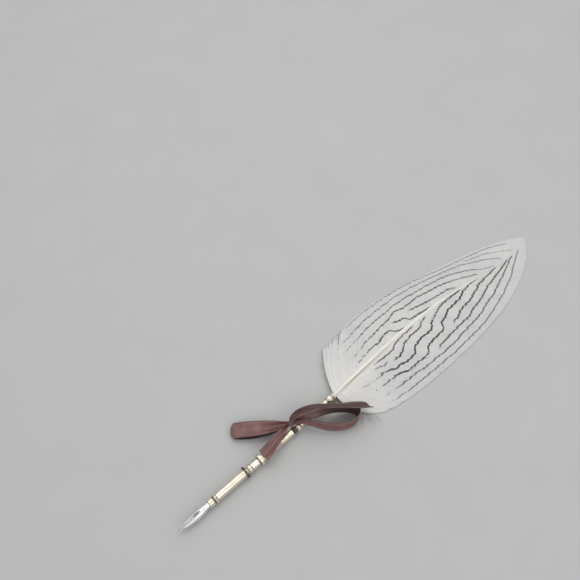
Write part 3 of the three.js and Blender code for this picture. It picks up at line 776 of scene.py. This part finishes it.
def band_values(points, bands, side):
    """The bands' coordinate, a whole number on each band, with what the finish needs round it."""
    x = points[..., 0] + BAND_SLOPE[0] * points[..., 2]
    y = side * (points[..., 1] + BAND_SLOPE[1] * points[..., 2])
    count = len(bands)
    levels = np.full((count + 2, *x.shape), np.nan)
    slopes = np.zeros((count + 2, *x.shape))
    marks = np.zeros((count + 2, *x.shape))
    for k, (_, strength, path) in enumerate(bands, 1):
        path = np.asarray(path, float)
        fine = np.arange(path[0, 0], path[-1, 0], BAND_STEP)
        heights = np.pad(np.interp(fine, path[:, 0], side * path[:, 1]), BAND_SMOOTHING, "edge")
        window = np.ones(2 * BAND_SMOOTHING + 1) / (2 * BAND_SMOOTHING + 1)
        heights = np.convolve(heights, window, "valid")
        here = (x >= fine[0]) & (x <= fine[-1])
        levels[k] = np.where(here, np.interp(x, fine, heights), np.nan)
        slopes[k] = np.interp(x, fine, np.gradient(heights, fine))
        ends = np.clip(np.minimum(x - fine[0], fine[-1] - x) / BAND_END_FADE, 0, 1)
        marks[k] = strength * np.where(here, ends, 0)
    nearest_edge = np.nanmax(np.where(np.isnan(levels), -FAR_OUT, levels), axis=0)
    nearest_shaft = np.nanmin(np.where(np.isnan(levels), FAR_OUT, levels), axis=0)
    levels[0] = np.where(nearest_edge > -90, nearest_edge + BAND_MARGIN, 40.0)
    levels[-1] = np.where(nearest_shaft < 90, nearest_shaft - BAND_MARGIN, -14.0)
    known = levels.copy()
    for k in range(1, count + 1):
        hidden = np.isnan(levels[k])
        above = levels[k - 1]
        below, steps = known[count + 1], np.full(x.shape, count + 1 - k)
        for j in range(count, k, -1):
            seen = ~np.isnan(known[j])
            below, steps = np.where(seen, known[j], below), np.where(seen, j - k, steps)
        levels[k] = np.where(hidden, above + (below - above) / (steps + 1), levels[k])
        levels[k] = np.minimum(levels[k], above - LEAST_BAND_GAP)
    band, gap = np.zeros(x.shape), np.full(x.shape, PLAIN_GAP)
    for k in range(count + 1):
        inside = (y <= levels[k]) & (y > levels[k + 1])
        step = levels[k] - levels[k + 1]
        part = (levels[k] - y) / step
        band = np.where(inside, k + part, band)
        near = np.where(part < 0.5, slopes[k], slopes[k + 1])
        gap = np.where(inside, step / np.sqrt(1 + near ** 2), gap)
    nearest = np.clip(np.rint(band), 0, count + 1).astype(int)
    mark = np.take_along_axis(marks, nearest[None], 0)[0]
    wide = BAND_WEIGHT * np.array([PLAIN_WIDTH, *(b[0] for b in bands), PLAIN_WIDTH])[nearest]
    return {"band": band, "gap": gap, "mark": mark, "wide": wide}


# Splits and fray at a vane's outer edge: the barb in the middle of each, how much of its reach
# is missing, and how many barbs away the notch ends.
LEFT_FRAY = [
    (1, 0.1, 0.9), (2.6, 0.17, 0.8), (4.2, 0.1, 0.8), (5.8, 0.2, 0.9), (7.4, 0.12, 0.8),
    (9, 0.18, 0.8), (11.4, 0.34, 1.2), (14, 0.05, 0.8), (31, 0.03, 0.7), (62, 0.025, 0.7),
]
RIGHT_FRAY = [(5, 0.04, 1.0), (12, 0.03, 0.8), (46, 0.03, 0.8), (118, 0.03, 0.8), (226, 0.05, 0.8)]
UNEVEN_REACH = 0.006


def edge_notches(barb, side):
    """How much of each barb's reach is missing."""
    missing = UNEVEN_REACH * RANDOM.random(BARBS + 2)[np.floor(barb).astype(int)]
    for middle, depth, spread in LEFT_FRAY if side > 0 else RIGHT_FRAY:
        missing = missing + depth * np.clip(1 - np.abs(barb - middle) / spread, 0, 1)
    return missing


# Near the tip the vanes' roots close over the shaft, from one share of its length to another.
TIP_CLOSES_AT = 0.72
TIP_CLOSES_OVER = 0.14
BANDS_START = 132
LEFT_BANDS_WHOLE = 178
RIGHT_BANDS_WHOLE = 162
# Stations where the feather's paler parts end, and over what length each one fades.
PALE_BASE_END, PALE_BASE_FADE = 150, 34
PALE_ROOTS_END, PALE_ROOTS_FADE = 215, 60
FAINT_BANDS_START, FAINT_BANDS_LENGTH = 112, 38


def add_vane(name, outline, bands, side, bow):
    """One vane: each column of the grid follows the surface along a barb, out to the outline."""
    shaft = smooth_line(SHAFT_LINE)
    edge = smooth_line([[*p, VANE_EDGE_HEIGHT] for p in outline])
    barb = np.arange(BARBS * STEPS_PER_BARB + 1) / STEPS_PER_BARB
    share = barb / BARBS
    root = along(shaft, 0.995 * share)
    over = np.clip((share - TIP_CLOSES_AT) / TIP_CLOSES_OVER, 0, 1)
    root[:, 1] += side * shaft_half_width(share) * 0.75 * (1 - over)
    root[:, 2] += 0.1 + 0.12 * over
    end = along(edge, share ** BARB_SWEEP)
    bend = (root + end) / 2
    reach = np.abs(end[:, 1] - root[:, 1])
    lean = bow[0] + (bow[1] - bow[0]) * np.minimum(1, 4 * share)
    bend[:, 0] -= lean * reach
    bend[:, 1] += side * 0.06 * reach
    out = np.linspace(0, 1, BARB_ROWS + 1)[None, :, None]
    out = out * (1 - edge_notches(barb, side)[:, None, None])
    grid = (1 - out) ** 2 * root[:, None] + 2 * out * (1 - out) * bend[:, None] + out ** 2 * end[:, None]
    reached = out[..., 0]
    grid[..., 2] = root[:, None, 2] + (end[:, None, 2] - root[:, None, 2]) * reached ** 1.7
    phase = barb % 1
    ridge = 1 - np.abs(2 * phase - 1)
    each = RANDOM.normal(0, 0.25, BARBS + 2)[np.floor(barb).astype(int)]
    swell = 0.35 * np.sin(barb / 9.0 + 2 * side) + 0.25 * np.sin(barb / 23.0 + side)
    grid[..., 2] += BARB_RELIEF * (ridge + each)[:, None] * np.clip(8 * (1 - reached), 0.2, 1)
    grid[..., 2] += 0.22 * (swell[:, None] + 0.6) * np.sin(np.pi * reached)
    thickness = VANE_ROOT_THICKNESS + (VANE_EDGE_THICKNESS - VANE_ROOT_THICKNESS) * reached
    points, faces = closed_sheet(grid, thickness)
    values = band_values(grid, bands, side)
    values["barb"] = np.repeat(barb[:, None], BARB_ROWS + 1, 1)
    values["out"] = reached
    near = np.exp(-reached * 9) * np.clip((PALE_ROOTS_END - grid[..., 0]) / PALE_ROOTS_FADE, 0, 1)
    low = np.clip((PALE_BASE_END - grid[..., 0]) / PALE_BASE_FADE, 0, 1)
    values["base"] = np.clip(0.6 * low + 0.8 * near, 0, 1)
    whole_from = LEFT_BANDS_WHOLE if side > 0 else RIGHT_BANDS_WHOLE
    values["whole"] = np.clip((grid[..., 0] - BANDS_START) / (whole_from - BANDS_START), 0, 1)
    faint = np.clip((grid[..., 0] - FAINT_BANDS_START) / FAINT_BANDS_LENGTH, 0.3, 1)
    values["mark"] = values["mark"] * faint
    values = {key: np.concatenate([v.ravel(), v.ravel()]) for key, v in values.items()}
    add_piece(name, points, faces, "vane", "barrel", [name.replace("fine_", "")], values, sharp=65)


def add_shaft():
    """The shaft: a tapering oval with a shallow groove along its top, and the quill below it."""
    line = smooth_line(SHAFT_LINE)
    share = np.linspace(0, 1, 121)
    middle = along(line, share)
    half = shaft_half_width(share)
    middle[:, 2] -= 0.3 * np.clip((share - TIP_CLOSES_AT) / TIP_CLOSES_OVER, 0, 1)
    sides = 40
    angle = 2 * np.pi * np.arange(sides) / sides
    away = np.abs((angle - GROOVE_ANGLE + np.pi) % (2 * np.pi) - np.pi)
    depth = np.exp(-(away / 0.22) ** 2)[None] * np.clip(1.25 - share * 2.4, 0, 1)[:, None]
    size = half[:, None] * (1 - 0.11 * depth)
    points = np.stack([
        np.repeat(middle[:, :1], sides, 1),
        middle[:, 1:2] + size * np.cos(angle),
        middle[:, 2:3] + size * SHAFT_FLATNESS * np.sin(angle),
    ], -1)
    faces = tube_faces(len(share), sides)
    # painted shadow along the groove, over the shaft's first part
    groove_shadow = np.clip(1.6 - np.abs(share - 0.17) / 0.13, 0, 1)[:, None] * depth
    add_piece("fine_shaft", points.reshape(-1, 3), faces, "quill", "barrel", ["shaft"], {"groove": groove_shadow})
    quill = [[109.5, 1.2], [109.5, 1.55], [113.5, 1.45], [113.5, 0], [113.15, 0], [113.15, 1.1]]
    points, faces, _ = turned(quill, True)
    no_groove = {"groove": np.zeros(len(points))}
    add_piece("fine_calamus", points, faces, "quill", "barrel", ["calamus"], no_groove)


DOWN_TUFTS = 5
DOWN_FILAMENTS = 9
DOWN_RADIUS = 0.065
DOWN_LOWEST = -3.45


def down_roots_and_tips():
    """Where each tuft starts and ends: a fan in the CAD fan's box, then some along the left base."""
    low, high = pen_box("down_tuft")
    for share in np.linspace(0, 1, DOWN_TUFTS):
        root = (high[0] - 5.5 * (1 - share), high[1] + 2.5 - 7 * share, high[2])
        tip = (low[0] + (high[0] - low[0]) * share, low[1] + 1.2 + 7 * (1 - share) ** 2, low[2])
        yield root, tip
    start, end = np.array([pen_box("left_vane")[0][0], 0]), np.array(LEFT_OUTLINE[0])
    for share in (0.5, 0.7, 0.85, 0.97):
        at = start + (end - start) * share - np.array([6.5 * share * (1 - share), 0])
        yield (at[0], at[1] - 1.5, -3 * share), (at[0] - 2.4, at[1] + 2, -3.2 * share)


def add_down():
    """Loose down at the base of both vanes."""
    strands = []
    for root, tip in down_roots_and_tips():
        for _ in range(DOWN_FILAMENTS):
            start = np.array(root) + RANDOM.normal(0, 0.35, 3) * (1, 1, 0.15)
            end = np.array(tip) + RANDOM.normal(0, 1.4, 3) * (1, 1, 0)
            bulge = (start + end) / 2 + RANDOM.normal(0, 0.8, 3) * (1, 1, 0.2)
            t = np.linspace(0, 1, 10)[:, None]
            path = (1 - t) ** 2 * start + 2 * t * (1 - t) * bulge + t ** 2 * end
            path[:, 2] = np.maximum(path[:, 2], DOWN_LOWEST)
            path[:, 1] = np.maximum(path[:, 1], RIGHT_VANE_SIDE + 0.3)
            strands.append(strand(path, DOWN_RADIUS))
    points, faces = merged(strands)
    add_piece("down_wisps", points, faces, "down", "barrel", ["down_tuft"])


# ---- Ribbon ----

# Each row is a point on a stretch's middle line, the ribbon's width there (it is gathered near
# the knot), and the direction across it.
RIBBON_WIDTH = 9.4
RIBBON_THICKNESS = 0.24
WRAP_RADIUS = 2.1
# The tails end a little short of their blunt CAD solids, inside the corner of each one's box.
LEFT_TAIL_LOW = pen_box("ribbon_left_tail")[0]
RIGHT_TAIL_LOW, RIGHT_TAIL_HIGH = pen_box("ribbon_right_tail")
LEFT_LOOP = [
    [82.3, 2.9, 4.4, 1.8, 0.5, 0.85, 0], [80.1, 4.5, 4.8, 2.8, 0.5, 0.85, 0],
    [75.6, 7.6, 4.4, 6.2, 0.64, 0.77, 0], [67.6, 13.9, 2.9, 8.6, 0.64, 0.77, 0],
    [59.6, 21, 0.8, 9.2, 0.64, 0.77, 0], [56, 24.3, -1.1, 9.3, 0.64, 0.77, 0],
    [58.8, 22, -2.8, 9.2, 0.64, 0.77, 0], [66.8, 14.8, -2.5, 8.6, 0.64, 0.77, 0],
    [75, 7.7, 1.1, 6, 0.64, 0.77, 0], [79.9, 4.8, 3.5, 2.4, 0.5, 0.85, 0],
    [82.3, 2.9, 3.8, 1.6, 0.5, 0.85, 0],
]
RIGHT_LOOP = [
    [82.8, 3.2, 4.2, 1.6, 0, 0.4, 1], [85.4, 3.5, 4.9, 2.6, 0, 0.4, 1], [89.4, 1.7, 6.2, 5.4, 0, 0.35, 1],
    [94.8, -1.2, 6, 7.2, 0, 0.25, 1], [103.8, -4.9, 3.6, 8, 0, 0.15, 1],
    [109.6, -8.6, 1.6, 8, 0, 0, 1], [113.9, -12.4, 0.9, 8, 0.15, 0, 1],
    [115.8, -15.8, 1, 8.1, 0.22, 0.05, 1], [113.6, -18.8, 1.1, 8.4, 0.16, 0.05, 1],
    [108.3, -19.7, 1.3, 8.6, 0.06, 0.12, 1], [102.3, -17.1, 1.6, 8.8, 0.06, 0.18, 1],
    [96.6, -12, 2.2, 8.8, 0.06, 0.26, 1], [92, -5.9, 3.4, 8.2, 0.06, 0.26, 1],
    [88.6, -1.4, 4.6, 6.4, 0.05, 0.2, 1], [85, 1.6, 4.4, 3.6, 0, 0, 1], [82.8, 2.6, 4, 1.6, 0, -0.2, 1],
]
LEFT_TAIL = [
    [82, 2.9, 4, 1.6, 0, 1, -0.3], [79.7, 2.9, 3.7, 2.8, 0, 1, -0.3], [75, 2, 3.6, 4.6, 0, 1, -0.25],
    [69.5, 0.9, 3.4, 6, 0, 1, -0.15], [64, -0.3, 3.4, 6.9, 0, 1, -0.08],
    [LEFT_TAIL_LOW[0] + 0.7, LEFT_TAIL_LOW[1] + 3.1, 4, 7.5, 0, 1, -0.05],
]
RIGHT_TAIL = [
    [82.8, 3.4, 4.4, 1.8, 0, 0.6, -0.3], [84.9, 4.5, 5.2, 3, 0, 0.7, -0.5],
    [88.6, 4.3, 6.9, 5.2, 0.2, 0.75, -0.55], [93.4, 2.2, 8.3, 7, 0.36, 0.7, -0.62],
    [98.5, -0.9, 9, 8, 0.42, 0.6, -0.7], [103.7, -5.3, 8.8, 8.2, 0.45, 0.5, -0.7],
    [109, -9.6, 8, 8.4, 0.45, 0.5, -0.7], [114.5, -13.5, 6.6, 8.6, 0.5, 0.55, -0.6],
    [120.2, -17.3, 4.6, 8.6, 0.5, 0.6, -0.6],
    [RIGHT_TAIL_HIGH[0] - 3.6, RIGHT_TAIL_LOW[1] + 3.6, 3.8, 8.6, 0.5, 0.6, -0.55],
]
KNOT_CENTRE = (82.5, 2.9, 4.2)
KNOT_SIZE = (2.0, 1.7, 1.4)
# painted shade and matte finish on the knot and the wrap
KNOT_SHADE_AND_MATTE = 0.6
STRIP_COLUMNS = 29
STRIP_STEP = 0.45
SELVEDGE_START = 0.44  # share of the width from the middle, where the firmer edge begins
SELVEDGE_RAMP = 0.03


def strip(rows, folds, cup, cut=0.0, phase=0.0, round_end=(0, 0), dimmer=(0, 1), fade=0.01):
    """One stretch of ribbon. Where it is gathered, its spare width goes into folds; cut slants its
    far end, and round_end is how far the edges hold back from the bend in its middle. Each face's
    painted shade and matte finish grow over the share of the length called fade."""
    line = smooth_line(rows, 60)
    steps = max(40, int(line[-1, 0] / STRIP_STEP))
    share = np.linspace(0, 1, steps + 1)[:, None]
    v = np.linspace(-0.5, 0.5, STRIP_COLUMNS)[None]
    place = share * (1 - abs(cut) * (0.5 - math.copysign(1, cut or 1) * v))
    row = along(line, place)
    middle, width, across = row[..., :3], row[..., 3], row[..., 4:]
    tangent = np.gradient(middle, axis=0)
    tangent /= np.linalg.norm(tangent, axis=-1, keepdims=True)
    across = across - (across * tangent).sum(-1, keepdims=True) * tangent
    across /= np.linalg.norm(across, axis=-1, keepdims=True)
    normal = np.cross(tangent, across)
    spare = np.sqrt(np.maximum(RIBBON_WIDTH ** 2 - width ** 2, 0))
    deep = np.clip(spare / (4 * folds), 0, 1.0) * np.clip(spare / RIBBON_WIDTH * 1.6, 0, 1)
    wave = deep * np.sin(2 * np.pi * folds * v + phase) + cup * width * (4 * v * v - 1 / 3)
    points = middle + across * (width * v)[..., None] + normal * wave[..., None]
    bend = np.exp(-((share - 0.5) / 0.1) ** 2) * (2 * np.abs(v)) ** 3
    points = points - bend[..., None] * np.array([*round_end, 0])
    values = {
        "along": place * line[-1, 0] + 0 * v, "across": RIBBON_WIDTH * v + 0 * share,
        "selvedge": np.clip((np.abs(v) - SELVEDGE_START) / SELVEDGE_RAMP, 0, 1) + 0 * share,
    }
    values = {key: np.tile(number.ravel(), 2) for key, number in values.items()}
    # painted shade and matte finish on the back face, growing in over fade
    grown = np.clip((place + 0 * v - fade) / fade, 0, 1).ravel()
    values["dimmer"] = np.concatenate([dimmer[0] * grown, dimmer[1] * grown])
    return points, values


def knot_shape():
    """The knot: a short swelling with creases that swirl round it."""
    around, down = 48, 28
    theta = 2 * np.pi * np.arange(around)[None] / around
    polar = np.pi * (np.arange(down + 1)[:, None] / down)
    crease = 1 + 0.09 * np.sin(5 * theta + 3.0 * polar) * np.sin(polar)
    unit = np.stack([
        np.cos(polar) + 0 * theta,
        np.sin(polar) * np.cos(theta) * crease,
        np.sin(polar) * np.sin(theta) * crease,
    ], -1)
    points = unit * KNOT_SIZE + KNOT_CENTRE
    index = np.arange((down + 1) * around).reshape(down + 1, around)
    after = np.roll(index, -1, axis=1)
    faces = np.stack([index[:-1], after[:-1], after[1:], index[1:]], -1).reshape(-1, 4)
    flat = 0 * theta + 0 * polar
    values = {
        "along": 12 * theta + flat, "across": 6 * polar + flat, "selvedge": flat,
        "dimmer": flat + KNOT_SHADE_AND_MATTE,
    }
    return points.reshape(-1, 3), faces, values


WRAP_START = 81.45
WRAP_END = 83.0
WRAP_BORE = 1.72


def wrap_shape():
    """The turn of ribbon round the neck, pulled into small folds."""
    stations = np.linspace(WRAP_START, WRAP_END, 20)
    share = (stations - stations[0]) / (stations[-1] - stations[0])
    outer = 2.0 + 0.26 * np.sin(np.pi * share) + 0.07 * np.sin(2 * np.pi * 3.5 * share)
    bore = [[WRAP_END, WRAP_BORE], [WRAP_START, WRAP_BORE]]
    outline = np.vstack([np.column_stack([stations, outer]), bore])
    angle = np.linspace(0, 2 * np.pi, 96, endpoint=False)
    ripple = 1 + 0.025 * np.sin(7 * angle[None] + 9 * outline[:, :1])
    radius = outline[:, 1:2] * ripple
    points = np.stack([
        outline[:, :1] + 0.12 * np.sin(2 * angle)[None], radius * np.cos(angle), radius * np.sin(angle),
    ], -1)
    index = np.arange(points.shape[0] * points.shape[1]).reshape(points.shape[:2])
    below, after = np.roll(index, -1, axis=0), np.roll(index, -1, axis=1)
    faces = np.stack([index, after, np.roll(below, -1, axis=1), below], -1).reshape(-1, 4)
    flat = 0 * radius
    values = {
        "along": 2.2 * angle[None] + flat, "across": 5 * outline[:, :1] + flat, "selvedge": flat,
        "dimmer": flat + KNOT_SHADE_AND_MATTE,
    }
    return points.reshape(-1, 3), faces, values


def add_bow():
    shapes, values = [], []
    strips = [
        strip(LEFT_LOOP, 2, 0.02, phase=0.6, round_end=(-1.3, 1.2)),
        strip(RIGHT_LOOP, 1.5, 0.02, phase=0.3, fade=0.17),
        strip(LEFT_TAIL, 1, -0.04, cut=-0.05, phase=1.2),
        strip(RIGHT_TAIL, 1.5, 0.01, cut=-0.08),
    ]
    for points, numbers in strips:
        shapes.append(closed_sheet(points, RIBBON_THICKNESS))
        values.append(numbers)
    for points, faces, numbers in (knot_shape(), wrap_shape()):
        shapes.append((points, faces))
        values.append({key: v.ravel() for key, v in numbers.items()})
    points, faces = merged(shapes)
    values = {key: np.concatenate([v[key] for v in values]) for key in values[0]}
    replaced = [
        "ribbon_wrap", "ribbon_knot", "ribbon_left_loop", "ribbon_right_loop", "ribbon_left_tail",
        "ribbon_right_tail",
    ]
    bow = add_piece("ribbon_bow", points, faces, "satin", "barrel", replaced, values, sharp=70)
    stretches = (LEFT_LOOP, RIGHT_LOOP, LEFT_TAIL, RIGHT_TAIL)
    length = sum(smooth_line(rows)[-1, 0] for rows in stretches) + 2 * math.pi * WRAP_RADIUS


def add_floor():
    reach = 3.0
    mesh = bpy.data.meshes.new("floor")
    corners = [(-reach, -reach, 0), (reach, -reach, 0), (reach, reach, 0), (-reach, reach, 0)]
    mesh.from_pydata(corners, [], [(0, 1, 2, 3)])
    mesh.materials.append(floor_material())
    floor = bpy.data.objects.new("floor", mesh)
    bpy.context.collection.objects.link(floor)


add_camera()
add_floor()
add_lights()
add_metalwork()
add_nib()
add_shaft()
add_vane("fine_left_vane", LEFT_OUTLINE, LEFT_BANDS, 1, (0.12, 0.12))
add_vane("fine_right_vane", RIGHT_OUTLINE, RIGHT_BANDS, -1, (0.3, 0.12))
add_down()
add_bow()
bpy.context.scene.view_settings.view_transform = "Standard"
